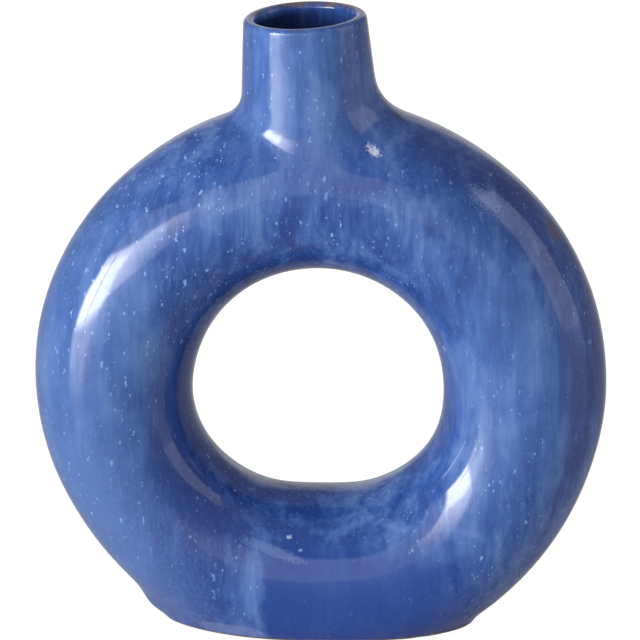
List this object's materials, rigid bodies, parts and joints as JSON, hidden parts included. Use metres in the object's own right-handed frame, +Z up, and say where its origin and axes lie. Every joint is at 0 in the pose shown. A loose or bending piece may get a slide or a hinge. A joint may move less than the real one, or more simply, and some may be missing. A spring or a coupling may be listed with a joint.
{
  "type": "donut vase",
  "caption": "Upright hollow ring vase in glazed stoneware, with a short flared neck on top and a low oval foot.",
  "frame": {"origin": "on the surface that the vase stands on, at the middle of the foot and under the centre of the ring", "axes": "+Z up, the ring stands in the XZ plane, and the front, the side that the picture shows, faces -Y"},
  "size_m": [0.226, 0.065, 0.251],
  "materials": {
    "glaze": "glossy streaked blue glaze over stoneware, breaking to brown on its edges",
    "bare_clay": "bare fired stoneware clay, matt and slightly gritty"
  },
  "bodies": {
    "root": {"ring_front": "glaze", "ring_back": "glaze", "neck": "glaze", "foot": "bare_clay"}
  },
  "joints": []
}
